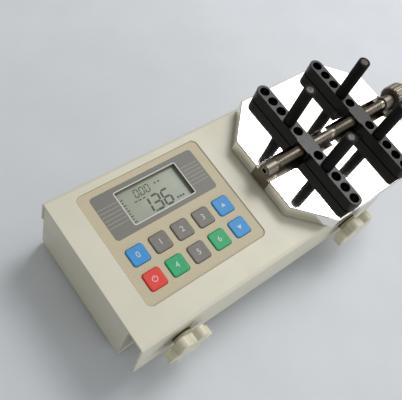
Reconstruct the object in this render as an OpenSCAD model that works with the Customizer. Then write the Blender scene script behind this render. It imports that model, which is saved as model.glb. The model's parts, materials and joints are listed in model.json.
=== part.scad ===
// Digital torque meter for bottle caps: a sheet-metal case with a keypad and display on the left,
// a folded octagonal tray on a torque sensor at the right, two sliding clamp bars with pegs on it,
// and two star knobs that hold the front apron. Lengths in millimetres, angles in degrees.
// Frame: +X along the case towards the tray, +Y to the rear, +Z up, z = 0 on the table,
// with x = 0 and y = 0 at the middle of everything.

/* [Case] */
// Length of the case
case_len = 260; // [256:1:275]
// Depth of the case from the front bend to the rear face
case_depth = 127.5; // [125:0.5:135]
// Height of the sheet-metal case without its feet
case_h = 62.2; // [60:0.2:70]
// Height of the rubber feet
foot_h = 4; // [3:0.5:6]
// How far the front apron hangs below the top
apron_drop = 49.7; // [46:0.1:51]
// Outward lean of the apron
apron_lean = 3; // [0:0.5:4]
// Depth of the open channel behind the apron
channel_depth = 16.6; // [15:0.2:18]
// Sheet thickness of the cover with its apron
cover_sheet = 2; // [1.5:0.1:2.2]

/* [Keypad] */
// Width of the keypad panel
panel_w = 111.5; // [111:0.5:114]
// Depth of the keypad panel
panel_d = 97.2; // [96:0.2:99]
// Distance from the left end of the case to the panel
panel_inset = 21; // [16:0.5:24]
// Distance between neighbouring keys in a row
key_pitch = 20; // [19.6:0.1:20.2]
// Distance between the two rows of keys
row_pitch = 21.2; // [20.6:0.1:21.4]
// Side of a key cap
key_side = 14.4; // [13.4:0.1:14.6]
// How far a key cap stands above the panel
key_rise = 1; // [0.8:0.1:1.4]
// Width of the grey display window
window_w = 94.2; // [90:0.2:98]
// Depth of the grey display window
window_d = 38.8; // [38:0.2:40]
// Width of the visible display
lcd_w = 55.9; // [52:0.1:58]
// Depth of the visible display
lcd_d = 29.1; // [27:0.1:30]

/* [Tray] */
// Length of the tray along the case
tray_len = 153.8; // [150:0.2:156]
// Width of the tray across the case
tray_w = 127.4; // [122:0.2:130]
// Leg of the tray's cut corners
tray_corner = 29.2; // [26:0.2:33]
// Height of the tray's folded skirt
skirt_h = 12; // [11.8:0.1:13]
// Gap between the skirt and the top of the case
tray_gap = 2; // [1.5:0.1:3]
// Distance of the torque axis from the right end of the case
axis_inset = 28.8; // [28:0.2:34]

/* [Clamp] */
// Distance between the two clamp bars
bar_gauge = 63.8; // [60:0.2:65]
// Width of a clamp bar
bar_w = 12.4; // [11.8:0.1:13.4]
// Height of a clamp bar
bar_h = 11.5; // [11.3:0.1:13]
// Diameter of the peg holes
peg_hole = 8; // [7:0.1:8.4]
// Distance between neighbouring peg holes
hole_pitch = 11; // [10.5:0.1:11.2]
// Diameter of the rubber sleeve on a peg
sleeve_d = 10; // [9:0.1:11]
// Height of a peg above its bar
peg_h = 41; // [30:1:55]

/* [Star knobs] */
// Diameter across the lobes of a star knob
star_d = 40; // [36:1:42]
// Thickness of a star knob
star_t = 8.5; // [8:0.1:11]
// Distance of each star knob from its end of the case
star_inset = 39; // [36:0.5:44]
// Distance of a star knob below the top of the case
star_drop = 28; // [26:0.5:30]

/* [Hidden] */
$fn = 48;
// Overrun of a cut past the face that it opens
over = 1;
// Running clearance on a radius, and the wider play of pieces that only pass each other
run_fit = 0.05;
slide_play = 0.1;
pass_play = 0.5;

// Sheet, bends and flanges of the case
base_sheet = 1.5;
bend_r = 3;
bend_steps = 10;
rear_lip = 24;
base_bend = 2;
cover_over = 0.8;
wall_flange = 10;
foot_r = 7;
foot_inset = 14;
foot_stem_r = 3;
foot_cap_r = 4.5;
foot_cap_h = 1.5;
cover_screw_r = 1.5;
cover_screw_head_r = 3;
cover_screw_head = 2;
cover_screw_len = 8;
cover_screw_drop = 12;
cover_screw_inset = 25;
cover_screws_n = 4;

// Keypad panel, display and the key board under them
panel_sunk = 0.8;
panel_gap = 0.2;
panel_flange = 2;
panel_flange_t = 1.2;
panel_r = 5;
panel_front = 22;
key_r = 2.2;
key_gap = 0.35;
key_flange = 1.3;
key_flange_t = 1;
key_travel = 0.5;
first_row = 15.8;
window_r = 3;
window_t = 0.6;
window_pocket = 0.5;
window_y = 72.3;
window_wall = 0.8;
glass_border = 2.5;
glass_t = 1.8;
module_w = 66;
module_d = 37;
module_t = 6;
board_t = 1.6;
board_w = 112;
board_d = 97;
spacer_r = 2.5;
spacer_bore = 1.4;
spacer_inset = 3;
spacer_end = 1;
switch_side = 6;
switch_body = 3.5;
switch_pin_r = 1.75;

// Electronics on the floor
main_w = 100;
main_d = 78;
main_y = 26;
main_rise = 6;
chip_h = 3;
cell_r = 7.1;
cell_len = 50;
cell_play = 0.2;
cells_wide = 2;
cells_high = 2;
cells_y = 32;
cells_gap = 2;

// Sockets in the rear wall
socket_z = 22;
port_x = 70;
port_out = 6.5;
port_flange_w = 31;
port_flange_h = 12.5;
port_flange_t = 0.8;
port_shell_w = 17;
port_shell_h = 8.4;
port_wall = 0.8;
port_body = 8;
jack_x = 110;
jack_r = 4;
jack_rim_r = 5.5;
jack_rim = 1.5;
jack_body = 11;
jack_bore = 2.8;
jack_pin = 1.05;

// Torque sensor
axis_front = 61.1;
sensor_side = 50;
sensor_flange = 6;
sensor_r = 23;
sensor_bore = 15;
sensor_screw_r = 2.5;
sensor_screw_head_r = 4.2;
sensor_screw_head = 2.6;
sensor_screw_at = 20;
sensor_h = 46.5;
bearing_bore = 10;
bearing_r = 18.5;
bearing_h = 9;
bearing_step = 0.6;
race_t = 3;
shaft_r = 6;
gauge_r = 4;
gauge_len = 18;
shaft_foot = 4;
hub_r = 12;
hub_play = 3;
hub_flange_r = 22;
hub_flange = 3;
hub_pcd_r = 18;
small_screw_r = 2;
small_head_r = 3.5;
small_head = 2.2;

// Guide channel, tray and bearing blocks
tray_sheet = 1.5;
channel_w = 40;
channel_h = 8;
groove_w = 17;
groove_depth = 5;
channel_short = 2.2;
slot_play = 0.1;
slot_web = 3;
tray_screw_x = 24;
tray_screw_y = 14;
tray_head_r = 3.6;
block_len = 10;
block_proud = 0.8;
block_play = 0.15;
block_lip = 2.8;
block_boss_r = 5.5;
block_screw_x = 6.4;

// Lead screw, bars and pegs
screw_r = 4;
screw_rise = 5.4;
journal_r = 3.5;
socket_af = 4;
socket_depth = 5;
knob_gap = 0.5;
hand_knob_r = 11;
hand_knob_len = 14;
hand_knob_edge = 1;
flute_r = 1.2;
flutes_n = 18;
bar_lift = 0.5;
pad_w = 14.4;
pad_len = 15.5;
tongue_len = 12;
tongue_low = 0.6;
nut_r = 5.2;
hole_first = 12.9;
holes_half = 5;
peg_index = 1;
core_r = 3.25;

// Star knobs and what they screw into
star_turn = 57.7;
lobes_n = 6;
lobe_r = 5;
star_core_r = 13.6;
star_edge = 1;
collar_r = 8;
collar_h = 3.6;
washer_t = 1;
washer_r = 8;
washer_play = 0.3;
stud_r = 3;
stud_embed = 7;
stud_in = 24;
standoff_r = 6;
standoff_gap = 0.2;

// Levels above the table
z_case = foot_h;
z_inside = z_case + base_sheet;
z_top = z_case + case_h;
z_under = z_top - cover_sheet;
z_plate = z_top + tray_gap + skirt_h;
z_sheet = z_plate - tray_sheet;
z_groove = z_sheet - groove_depth;
z_channel = z_sheet - channel_h;
z_bar = z_plate + bar_lift;
z_peg = z_bar + bar_h;
z_screw = z_plate + screw_rise;
z_panel = z_top - panel_sunk;
z_seat = z_under - panel_flange_t;
z_board = z_seat - module_t;
z_main = z_inside + main_rise;
z_jack = z_case + socket_z;
z_sensor = z_inside + sensor_h;

// Where the pieces stand in plan
past_case = tray_len / 2 - axis_inset + block_proud + knob_gap + hand_knob_len;
total_len = case_len + past_case;
x_left = -total_len / 2;
x_right = x_left + case_len;
x_axis = x_right - axis_inset;
lobe_ring = star_d / 2 - lobe_r;
star_low = lobe_ring * max([for (k = [0:lobes_n - 1]) -sin(star_turn + k * 360 / lobes_n)]) + lobe_r;
star_out = washer_t + collar_h + star_t;
star_down = star_drop - bend_r;
reach_front = (bend_r + star_out) * cos(apron_lean) + (star_down + star_low - star_edge) * sin(apron_lean) - bend_r;
reach_back = port_out - cover_sheet;
y_front = reach_front - (reach_front + case_depth + reach_back) / 2;
y_back = y_front + case_depth;
y_wall = y_front + channel_depth;
y_rear = y_back - cover_sheet;
y_axis = y_front + axis_front;
x_panel = x_left + panel_inset;
x_mid = x_panel + panel_w / 2;
y_panel = y_front + panel_front;
y_window = y_panel + window_y;
x_wall_left = x_left + cover_over;
x_wall_right = x_right - cover_over;
keys_row = 5;
key_half = key_side / 2 + key_flange;
star_xs = [x_left + star_inset, x_right - star_inset];
cover_screw_step = (case_len - 2 * cover_screw_inset) / (cover_screws_n - 1);
block_in = tray_len / 2 - block_len;
block_out = tray_len / 2 + block_proud;
channel_half = tray_len / 2 - channel_short;

// Block between two corners
module block(low, high) {
    translate(low)
        cube(high - low);
}

// Block with upright rounded corners
module rounded(low, high, r) {
    block([low[0] + r, low[1], low[2]], [high[0] - r, high[1], high[2]]);
    block([low[0], low[1] + r, low[2]], [high[0], high[1] - r, high[2]]);
    for (x = [low[0] + r, high[0] - r], y = [low[1] + r, high[1] - r])
        upright(r, [x, y], low[2], high[2]);
}

// Cylinders along the three directions
module upright(r, at, z0, z1) {
    translate([at[0], at[1], z0])
        cylinder(h = z1 - z0, r = r);
}

module along_x(r, x0, x1, y, z) {
    translate([x0, y, z])
        rotate([0, 90, 0])
            cylinder(h = x1 - x0, r = r);
}

module along_y(r, y0, y1, x, z) {
    translate([x, y0, z])
        rotate([-90, 0, 0])
            cylinder(h = y1 - y0, r = r);
}

// Frame on the outer face of the leaning apron: its -Y points out of the face
module on_apron(x) {
    translate([x, y_front + bend_r, z_top - bend_r])
        rotate([-apron_lean, 0, 0])
            translate([0, -bend_r, -star_down])
                children();
}

// Places of the keys, the spacers and the screws
function key_at(column, row) = [x_mid + (column - (keys_row - 1) / 2) * key_pitch,
    y_panel + first_row + row * row_pitch];
spacer_at = [for (x = [-1, 1], y = [-1, 0, 1])
    [x_mid + x * (board_w / 2 - spacer_inset), y_panel + panel_d / 2 + y * (board_d / 2 - spacer_inset)]];
main_at = [for (x = [-1, 1], y = [0, 1])
    [x_mid + x * (main_w / 2 - spacer_inset), y_front + main_y + spacer_inset + y * (main_d - 2 * spacer_inset)]];
foot_at = [for (x = [x_wall_left + foot_inset, x_wall_right - foot_inset],
    y = [y_wall + foot_inset, y_rear - foot_inset]) [x, y]];
sensor_screw_places = [for (x = [-1, 1], y = [-1, 1]) [x_axis + x * sensor_screw_at, y_axis + y * sensor_screw_at]];
hub_screw_places = [for (a = [45:90:315]) [x_axis + hub_pcd_r * cos(a), y_axis + hub_pcd_r * sin(a)]];
tray_screw_places = [for (x = [-1, 1], y = [-1, 1]) [x_axis + x * tray_screw_x, y_axis + y * tray_screw_y]];
block_screw_places = [for (s = [-1, 1]) [x_axis + s * (tray_len / 2 - block_screw_x), y_axis]];
cover_screw_xs = [for (k = [0:cover_screws_n - 1]) x_left + cover_screw_inset + k * cover_screw_step];

// Box with its bottom, end walls, recessed front wall and rear wall, flanged inwards at the ends
module base_shell() {
    color("gainsboro")
        difference() {
            union() {
                block([x_wall_left, y_wall, z_case], [x_wall_right, y_rear - base_bend, z_under]);
                block([x_wall_left, y_wall, z_case], [x_wall_right, y_rear, z_under - base_bend]);
                along_x(base_bend, x_wall_left, x_wall_right, y_rear - base_bend, z_under - base_bend);
            }
            block([x_wall_left + base_sheet, y_wall + base_sheet, z_inside],
                [x_wall_right - base_sheet, y_rear - base_sheet, z_under - base_sheet]);
            block([x_wall_left + wall_flange, y_wall + base_sheet, z_inside],
                [x_wall_right - wall_flange, y_rear - base_sheet, z_under + over]);
            for (at = foot_at)
                upright(foot_stem_r, at, z_case - over, z_inside + over);
            for (at = sensor_screw_places)
                upright(sensor_screw_r, at, z_case - over, z_inside + over);
            for (x = cover_screw_xs)
                along_y(cover_screw_r, y_rear - base_sheet - over, y_rear + over, x, z_top - cover_screw_drop);
            for (x = star_xs)
                on_apron(x)
                    along_y(stud_r + pass_play, cover_sheet, stud_in + over, 0, 0);
            upright(hub_flange_r, [x_axis, y_axis], z_under - base_sheet - over, z_under + over);
            block([x_left + port_x - port_shell_w / 2 - port_wall, y_rear - base_sheet - over,
                    z_jack - port_shell_h / 2 - port_wall],
                [x_left + port_x + port_shell_w / 2 + port_wall, y_rear + over,
                    z_jack + port_shell_h / 2 + port_wall]);
            along_y(jack_r, y_rear - base_sheet - over, y_rear + over, x_left + jack_x, z_jack);
        }
}

// Profile of the folded cover across the case: points on a bend, from the top (0) down to the given angle
function on_bend(y, side, r, angle) = [y + side * r * sin(angle), z_top - bend_r + r * cos(angle)];
function apron_end(r) = on_bend(y_front + bend_r, -1, r, 90 - apron_lean)
    - (apron_drop - bend_r) / cos(apron_lean) * [sin(apron_lean), cos(apron_lean)];
function front_bend(r) = [for (k = [bend_steps:-1:0])
    on_bend(y_front + bend_r, -1, r, k * (90 - apron_lean) / bend_steps)];
function back_bend(r) = [for (k = [0:bend_steps]) on_bend(y_back - bend_r, 1, r, k * 90 / bend_steps)];
function reversed(points) = [for (k = [len(points) - 1:-1:0]) points[k]];
cover_path = concat([apron_end(bend_r)], front_bend(bend_r), back_bend(bend_r), [[y_back, z_top - rear_lip]],
    [[y_rear, z_top - rear_lip]], reversed(back_bend(bend_r - cover_sheet)),
    reversed(front_bend(bend_r - cover_sheet)), [apron_end(bend_r - cover_sheet)]);

// Folded cover: top, leaning front apron and rear lip, open over the keypad panel and the torque axis
module cover() {
    color("gainsboro")
        difference() {
            translate([x_left, 0, 0])
                rotate([90, 0, 90])
                    linear_extrude(case_len)
                        polygon(cover_path);
            rounded([x_panel, y_panel, z_under - over], [x_panel + panel_w, y_panel + panel_d, z_top + over], panel_r);
            upright(hub_r + hub_play, [x_axis, y_axis], z_under - over, z_top + over);
            for (x = cover_screw_xs)
                along_y(cover_screw_r + slide_play, y_rear - over, y_back + over, x, z_top - cover_screw_drop);
            for (x = star_xs)
                on_apron(x)
                    along_y(stud_r + pass_play, -over, cover_sheet + over, 0, 0);
        }
}

// Push-in rubber feet
module feet() {
    color("dimgray")
        for (at = foot_at) {
            upright(foot_r, at, 0, z_case);
            upright(foot_stem_r, at, z_case, z_inside);
            upright(foot_cap_r, at, z_inside, z_inside + foot_cap_h);
        }
}

// Pan-head screws of the rear lip
module cover_screws() {
    color("silver")
        for (x = cover_screw_xs) {
            along_y(cover_screw_head_r, y_back, y_back + cover_screw_head, x, z_top - cover_screw_drop);
            along_y(cover_screw_r, y_back - cover_screw_len, y_back, x, z_top - cover_screw_drop);
        }
}

// Keypad panel: a plate sunk in the cover's opening on a flange that bears on the cover's underside,
// with its key windows, a pocket for the display window and the display opening
module key_panel() {
    color("tan")
        difference() {
            union() {
                rounded([x_panel + panel_gap, y_panel + panel_gap, z_seat],
                    [x_panel + panel_w - panel_gap, y_panel + panel_d - panel_gap, z_panel], panel_r - panel_gap);
                rounded([x_panel - panel_flange, y_panel - panel_flange, z_seat],
                    [x_panel + panel_w + panel_flange, y_panel + panel_d + panel_flange, z_under],
                    panel_r + panel_flange);
            }
            for (column = [0:keys_row - 1], row = [0, 1])
                rounded([key_at(column, row)[0] - key_side / 2 - key_gap, key_at(column, row)[1] - key_side / 2 - key_gap,
                        z_seat - over],
                    [key_at(column, row)[0] + key_side / 2 + key_gap, key_at(column, row)[1] + key_side / 2 + key_gap,
                        z_panel + over],
                    key_r + key_gap);
            rounded([x_mid - window_w / 2, y_window - window_d / 2, z_panel - window_pocket],
                [x_mid + window_w / 2, y_window + window_d / 2, z_panel + over], window_r);
            block([x_mid - lcd_w / 2 - window_wall, y_window - lcd_d / 2 - window_wall, z_seat - over],
                [x_mid + lcd_w / 2 + window_wall, y_window + lcd_d / 2 + window_wall, z_panel + over]);
        }
}

// Grey window plate with the walls that run down to the display's glass
module display_window() {
    color("gray")
        difference() {
            union() {
                rounded([x_mid - window_w / 2, y_window - window_d / 2, z_panel - window_pocket],
                    [x_mid + window_w / 2, y_window + window_d / 2, z_panel - window_pocket + window_t], window_r);
                block([x_mid - lcd_w / 2 - window_wall, y_window - lcd_d / 2 - window_wall, z_seat],
                    [x_mid + lcd_w / 2 + window_wall, y_window + lcd_d / 2 + window_wall, z_panel]);
            }
            block([x_mid - lcd_w / 2, y_window - lcd_d / 2, z_seat - over],
                [x_mid + lcd_w / 2, y_window + lcd_d / 2, z_panel + over]);
        }
}

// Liquid-crystal cell under the window's walls and the module that carries it
module lcd_glass() {
    color("darkseagreen")
        block([x_mid - lcd_w / 2 - glass_border, y_window - lcd_d / 2 - glass_border, z_seat - glass_t],
            [x_mid + lcd_w / 2 + glass_border, y_window + lcd_d / 2 + glass_border, z_seat]);
}

module lcd_module() {
    color("silver")
        block([x_mid - module_w / 2, y_window - module_d / 2, z_board],
            [x_mid + module_w / 2, y_window + module_d / 2, z_seat - glass_t]);
}

// Board under the keys, with its switches, and the spacers of both boards
module key_board() {
    color("seagreen")
        difference() {
            block([x_mid - board_w / 2, y_panel + (panel_d - board_d) / 2, z_board - board_t],
                [x_mid + board_w / 2, y_panel + (panel_d + board_d) / 2, z_board]);
            for (at = spacer_at)
                upright(spacer_bore, at, z_board - board_t - over, z_board + over);
        }
}

module key_switches() {
    color("black")
        for (column = [0:keys_row - 1], row = [0, 1]) {
            block([key_at(column, row)[0] - switch_side / 2, key_at(column, row)[1] - switch_side / 2, z_board],
                [key_at(column, row)[0] + switch_side / 2, key_at(column, row)[1] + switch_side / 2,
                    z_board + switch_body]);
            upright(switch_pin_r, key_at(column, row), z_board + switch_body,
                z_seat - key_flange_t - key_travel - 2 * run_fit);
        }
}

module board_spacers() {
    color("silver") {
        for (at = spacer_at)
            difference() {
                upright(spacer_r, at, z_board, z_seat);
                upright(spacer_bore, at, z_board - over, z_seat - spacer_end);
            }
        for (at = main_at)
            difference() {
                upright(spacer_r, at, z_inside, z_main);
                upright(spacer_bore, at, z_inside + spacer_end, z_main + over);
            }
    }
}

// Key cap with the flange that keeps it under the panel
module key_cap(column, row, tint) {
    color(tint) {
        rounded([key_at(column, row)[0] - key_side / 2, key_at(column, row)[1] - key_side / 2,
                z_seat - key_flange_t - run_fit],
            [key_at(column, row)[0] + key_side / 2, key_at(column, row)[1] + key_side / 2, z_panel + key_rise], key_r);
        rounded([key_at(column, row)[0] - key_half, key_at(column, row)[1] - key_half,
                z_seat - key_flange_t - run_fit],
            [key_at(column, row)[0] + key_half, key_at(column, row)[1] + key_half, z_seat - run_fit],
            key_r + key_flange);
    }
}

module key_zero() { key_cap(0, 1, "dodgerblue"); }
module key_unit() { key_cap(1, 1, "gray"); }
module key_peak() { key_cap(2, 1, "gray"); }
module key_memory() { key_cap(3, 1, "gray"); }
module key_up() { key_cap(4, 1, "dodgerblue"); }
module key_power() { key_cap(0, 0, "firebrick"); }
module key_clear() { key_cap(1, 0, "seagreen"); }
module key_print() { key_cap(2, 0, "gray"); }
module key_set() { key_cap(3, 0, "seagreen"); }
module key_down() { key_cap(4, 0, "dodgerblue"); }

// Main board on the floor with its larger components
module main_board() {
    color("seagreen")
        difference() {
            block([x_mid - main_w / 2, y_front + main_y, z_main],
                [x_mid + main_w / 2, y_front + main_y + main_d, z_main + board_t]);
            for (at = main_at)
                upright(spacer_bore, at, z_main - over, z_main + board_t + over);
        }
}

// Each component: place across and along the board, and its size, as shares of the board
chip_shares = [[-0.3, 0.2, 0.14, 0.18, 1], [0, 0.2, 0.2, 0.2, 1], [0.28, 0.25, 0.12, 0.12, 3],
    [-0.25, 0.62, 0.22, 0.14, 2], [0.1, 0.65, 0.1, 0.1, 3]];
module main_components() {
    color("black")
        for (c = chip_shares)
            block([x_mid + (c[0] - c[2] / 2) * main_w, y_front + main_y + (c[1] - c[3] / 2) * main_d,
                    z_main + board_t],
                [x_mid + (c[0] + c[2] / 2) * main_w, y_front + main_y + (c[1] + c[3] / 2) * main_d,
                    z_main + board_t + c[4] * chip_h]);
}

// Rechargeable cells on the floor beside the sensor, two wide and two high
module battery_pack() {
    color("darkorange")
        for (k = [0:cells_wide - 1], n = [0:cells_high - 1])
            along_y(cell_r, y_front + cells_y, y_front + cells_y + cell_len,
                x_axis - sensor_side / 2 - cells_gap - cell_r - k * (2 * cell_r + cell_play),
                z_inside + cell_r + n * (2 * cell_r + cell_play));
}

// Data port: flange on the rear wall, hollow shell outside, body inside
module data_port() {
    color("silver")
        difference() {
            union() {
                block([x_left + port_x - port_flange_w / 2, y_rear, z_jack - port_flange_h / 2],
                    [x_left + port_x + port_flange_w / 2, y_rear + port_flange_t, z_jack + port_flange_h / 2]);
                block([x_left + port_x - port_shell_w / 2, y_rear - base_sheet - port_body, z_jack - port_shell_h / 2],
                    [x_left + port_x + port_shell_w / 2, y_rear + port_out, z_jack + port_shell_h / 2]);
            }
            block([x_left + port_x - port_shell_w / 2 + port_wall, y_rear + port_wall,
                    z_jack - port_shell_h / 2 + port_wall],
                [x_left + port_x + port_shell_w / 2 - port_wall, y_rear + port_out + over,
                    z_jack + port_shell_h / 2 - port_wall]);
        }
}

// Power socket: rim outside, barrel through the wall, with its contact pin
module power_socket() {
    color("black") {
        difference() {
            union() {
                along_y(jack_rim_r, y_rear, y_rear + jack_rim, x_left + jack_x, z_jack);
                along_y(jack_r, y_rear - jack_body, y_rear + jack_rim, x_left + jack_x, z_jack);
            }
            along_y(jack_bore, y_rear - jack_body + jack_rim, y_rear + jack_rim + over, x_left + jack_x, z_jack);
        }
        along_y(jack_pin, y_rear - jack_body + jack_rim - run_fit, y_rear, x_left + jack_x, z_jack);
    }
}

// Sensor housing bolted to the floor, with the torsion shaft inside and the hub's bearing on top
module sensor_housing() {
    color("silver")
        difference() {
            union() {
                block([x_axis - sensor_side / 2, y_axis - sensor_side / 2, z_inside],
                    [x_axis + sensor_side / 2, y_axis + sensor_side / 2, z_inside + sensor_flange]);
                upright(sensor_r, [x_axis, y_axis], z_inside, z_sensor);
            }
            upright(sensor_bore, [x_axis, y_axis], z_inside - over, z_sensor + over);
            upright(bearing_r, [x_axis, y_axis], z_sensor - bearing_h, z_sensor + over);
            for (at = sensor_screw_places)
                upright(sensor_screw_r, at, z_inside - over, z_inside + sensor_flange + over);
        }
}

module torsion_shaft() {
    color("lightsteelblue") {
        upright(sensor_bore, [x_axis, y_axis], z_inside, z_inside + shaft_foot);
        upright(shaft_r, [x_axis, y_axis], z_inside + shaft_foot, z_inside + 2 * shaft_foot);
        upright(gauge_r, [x_axis, y_axis], z_inside + 2 * shaft_foot, z_inside + 2 * shaft_foot + gauge_len);
        upright(shaft_r, [x_axis, y_axis], z_inside + 2 * shaft_foot + gauge_len, z_top);
    }
}

module hub_bearing() {
    color("silver")
        difference() {
            upright(bearing_r, [x_axis, y_axis], z_sensor - bearing_h, z_sensor);
            upright(bearing_bore + run_fit, [x_axis, y_axis], z_sensor - bearing_h - over, z_sensor + over);
            difference() {
                upright(bearing_r - race_t, [x_axis, y_axis], z_sensor - bearing_step, z_sensor + over);
                upright(bearing_bore + race_t, [x_axis, y_axis], z_sensor - bearing_step - over,
                    z_sensor + 2 * over);
            }
        }
}

module sensor_screws() {
    color("silver")
        for (at = sensor_screw_places) {
            upright(sensor_screw_r, at, z_case, z_inside + sensor_flange);
            upright(sensor_screw_head_r, at, z_case - sensor_screw_head, z_case);
        }
}

// Hub between the torsion shaft and the guide channel
module tray_hub() {
    color("lightsteelblue")
        difference() {
            union() {
                upright(bearing_bore, [x_axis, y_axis], z_sensor - bearing_h, z_sensor);
                upright(hub_r, [x_axis, y_axis], z_sensor, z_channel - hub_flange);
                upright(hub_flange_r, [x_axis, y_axis], z_channel - hub_flange, z_channel);
            }
            upright(shaft_r + run_fit, [x_axis, y_axis], z_sensor - bearing_h - over, z_top + over);
            for (at = hub_screw_places)
                upright(small_screw_r, at, z_channel - hub_flange - over, z_channel + over);
        }
}

module hub_screws() {
    color("silver")
        for (at = hub_screw_places) {
            upright(small_screw_r, at, z_channel - hub_flange, z_sheet - 2 * small_head);
            upright(small_head_r, at, z_sheet - 2 * small_head, z_sheet - small_head);
        }
}

// Steel channel under the tray that guides the bars' tongues and carries tray and bearing blocks
module guide_channel() {
    color("lightsteelblue")
        difference() {
            block([x_axis - channel_half, y_axis - channel_w / 2, z_channel],
                [x_axis + channel_half, y_axis + channel_w / 2, z_sheet]);
            block([x_axis - channel_half - over, y_axis - groove_w / 2, z_groove],
                [x_axis + channel_half + over, y_axis + groove_w / 2, z_sheet + over]);
            for (at = hub_screw_places) {
                upright(small_screw_r + slide_play, at, z_channel - over, z_sheet + over);
                upright(small_head_r, at, z_sheet - 2 * small_head, z_sheet + over);
            }
            for (at = tray_screw_places)
                upright(small_screw_r, at, z_channel - over, z_sheet + over);
            for (at = block_screw_places)
                upright(small_screw_r + slide_play, at, z_channel - over, z_groove + over);
        }
}

// Outline of the tray, drawn in by a given distance from its outer faces
module tray_outline(inset) {
    half_l = tray_len / 2 - inset;
    half_w = tray_w / 2 - inset;
    cut = tray_corner - inset * (2 - sqrt(2));
    polygon([[half_l, half_w - cut], [half_l - cut, half_w], [cut - half_l, half_w], [-half_l, half_w - cut],
        [-half_l, cut - half_w], [cut - half_l, -half_w], [half_l - cut, -half_w], [half_l, cut - half_w]]);
}

// Folded octagonal tray with its skirt, slotted from both ends for the bars' tongues
module tray() {
    color("lightgray")
        difference() {
            translate([x_axis, y_axis, z_plate - skirt_h])
                linear_extrude(skirt_h)
                    tray_outline(0);
            translate([x_axis, y_axis, z_plate - skirt_h - over])
                linear_extrude(skirt_h - tray_sheet + over)
                    tray_outline(tray_sheet);
            for (s = [-1, 1])
                block([x_axis + min(s * slot_web, s * tray_len), y_axis - groove_w / 2 - slot_play,
                        z_plate - skirt_h - over],
                    [x_axis + max(s * slot_web, s * tray_len), y_axis + groove_w / 2 + slot_play, z_plate + over]);
            for (at = tray_screw_places)
                translate([at[0], at[1], z_sheet])
                    cylinder(h = tray_sheet, r1 = small_screw_r, r2 = tray_head_r);
        }
}

module tray_screws() {
    color("silver")
        for (at = tray_screw_places) {
            translate([at[0], at[1], z_sheet])
                cylinder(h = tray_sheet, r1 = small_screw_r, r2 = tray_head_r);
            upright(small_screw_r, at, z_channel, z_sheet);
        }
}

// Block at an end of the channel that carries the lead screw; side is -1 at the left, 1 at the right
module bearing_block(side, bore) {
    color("lightsteelblue")
        difference() {
            translate([x_axis, y_axis, 0])
                mirror([side < 0 ? 1 : 0, 0, 0]) {
                    block([block_in, block_play - groove_w / 2, z_groove], [block_out, groove_w / 2 - block_play, z_plate]);
                    block([block_out - block_lip, block_play - groove_w / 2, z_plate - skirt_h],
                        [block_out, groove_w / 2 - block_play, z_plate]);
                    block([block_in, -block_boss_r, z_groove], [block_out, block_boss_r, z_screw]);
                    along_x(block_boss_r, block_in, block_out, 0, z_screw);
                }
            along_x(bore, x_axis - block_out - over, x_axis + block_out + over, y_axis, z_screw);
            for (at = block_screw_places)
                upright(small_screw_r, at, z_groove - over, z_plate - tray_sheet);
        }
}

module bearing_block_left() { bearing_block(-1, screw_r + run_fit); }
module bearing_block_right() { bearing_block(1, journal_r + run_fit); }

module block_screws() {
    color("silver")
        for (at = block_screw_places) {
            upright(small_screw_r, at, z_channel, z_plate - tray_sheet);
            upright(small_head_r, at, z_channel - small_head, z_channel);
        }
}

// Lead screw with a plain left end and socket, left and right threads drawn at their crests,
// and a journal that runs in the right block and carries the hand knob
module lead_screw() {
    color("silver")
        difference() {
            union() {
                along_x(screw_r, x_axis - block_out, x_axis + block_in - run_fit, y_axis, z_screw);
                along_x(journal_r, x_axis, x_axis + block_out + knob_gap + hand_knob_len, y_axis, z_screw);
            }
            translate([x_axis - block_out - over, y_axis, z_screw])
                rotate([0, 90, 0])
                    cylinder(h = socket_depth + over, r = socket_af / 2 / cos(30), $fn = 6);
        }
}

module hand_knob() {
    x0 = x_axis + block_out + knob_gap;
    color("silver")
        difference() {
            translate([x0, y_axis, z_screw])
                rotate([0, 90, 0]) {
                    cylinder(h = hand_knob_edge, r1 = hand_knob_r - hand_knob_edge, r2 = hand_knob_r);
                    translate([0, 0, hand_knob_edge])
                        cylinder(h = hand_knob_len - 2 * hand_knob_edge, r = hand_knob_r);
                    translate([0, 0, hand_knob_len - hand_knob_edge])
                        cylinder(h = hand_knob_edge, r1 = hand_knob_r, r2 = hand_knob_r - hand_knob_edge);
                }
            along_x(journal_r, x0 - over, x0 + hand_knob_len + over, y_axis, z_screw);
            for (k = [0:flutes_n - 1])
                along_x(flute_r, x0 - over, x0 + hand_knob_len + over,
                    y_axis + (hand_knob_r + flute_r / 2) * cos(k * 360 / flutes_n),
                    z_screw + (hand_knob_r + flute_r / 2) * sin(k * 360 / flutes_n));
        }
}

// Places of the peg holes along a bar
hole_ys = [for (s = [-1, 1], k = [0:holes_half - 1]) y_axis + s * (hole_first + k * hole_pitch)];
peg_y = hole_first + peg_index * hole_pitch;

// Clamp bar with round ends, a thicker middle, peg holes, a cross bore for its nut and a tongue below
module clamp_bar(x) {
    color("dimgray")
        difference() {
            union() {
                block([x - bar_w / 2, y_axis - (tray_w - bar_w) / 2, z_bar], [x + bar_w / 2, y_axis + (tray_w - bar_w) / 2, z_peg]);
                for (s = [-1, 1])
                    upright(bar_w / 2, [x, y_axis + s * (tray_w - bar_w) / 2], z_bar, z_peg);
                block([x - pad_w / 2, y_axis - pad_len / 2, z_bar], [x + pad_w / 2, y_axis + pad_len / 2, z_peg]);
                block([x - tongue_len / 2, y_axis - groove_w / 2 + slide_play, z_groove + tongue_low],
                    [x + tongue_len / 2, y_axis + groove_w / 2 - slide_play, z_bar]);
            }
            for (y = hole_ys)
                upright(peg_hole / 2, [x, y], z_bar - over, z_peg + over);
            along_x(nut_r, x - pad_w / 2 - over, x + pad_w / 2 + over, y_axis, z_screw);
        }
}

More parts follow.
